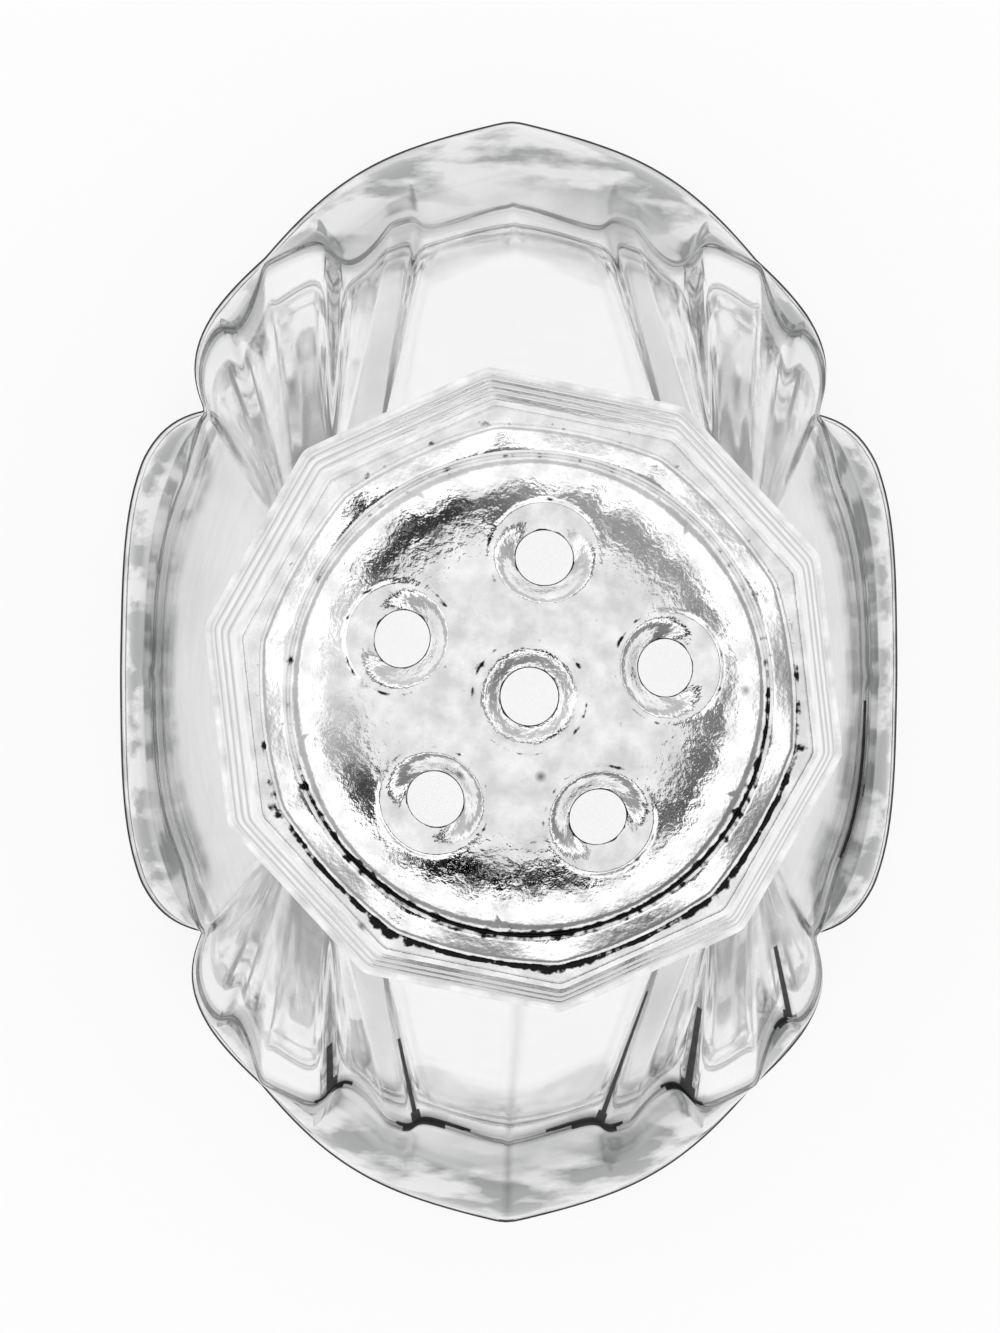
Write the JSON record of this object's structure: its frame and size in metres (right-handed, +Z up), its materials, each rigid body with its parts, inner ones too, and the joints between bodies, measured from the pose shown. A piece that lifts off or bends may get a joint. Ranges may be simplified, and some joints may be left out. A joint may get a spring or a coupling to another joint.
{
  "type": "condiment shaker",
  "caption": "Oblong condiment shaker of clear pressed glass with fluted walls and a scalloped foot, closed by a faceted chrome screw cap with a pierced domed top.",
  "frame": {"origin": "centre of the underside, on the surface that the shaker stands on", "axes": "+Z up along the axis of the neck and cap, +Y along the longer side of the foot, +X across it"},
  "size_m": [0.0502, 0.0712, 0.0776],
  "materials": {
    "clear_glass": "clear fire-polished pressed glass",
    "cap_chrome": "bright plated sheet, finely dented and scratched",
    "insert_plastic": "white moulded",
    "washer_rubber": "pale matt"
  },
  "bodies": {
    "glass": {"glass_body": "clear_glass"},
    "washer": {"sealing_washer": "washer_rubber"},
    "cap": {"cap_shell": "cap_chrome", "thread_insert": "insert_plastic"}
  },
  "joints": [
    {"name": "cap_lift", "type": "slide", "parent": "glass", "child": "washer", "axis": [0, 0, 1], "range_m": [0, 0.012]},
    {"name": "cap_turn", "type": "hinge", "parent": "washer", "child": "cap", "pos_m": [0, 0, 0.07], "axis": [0, 0, 1], "range_deg": [0, 1080]}
  ],
  "couplings": [
    {"joint": "cap_lift", "follows": "cap_turn", "m_per_rad": 0.0006366}
  ]
}
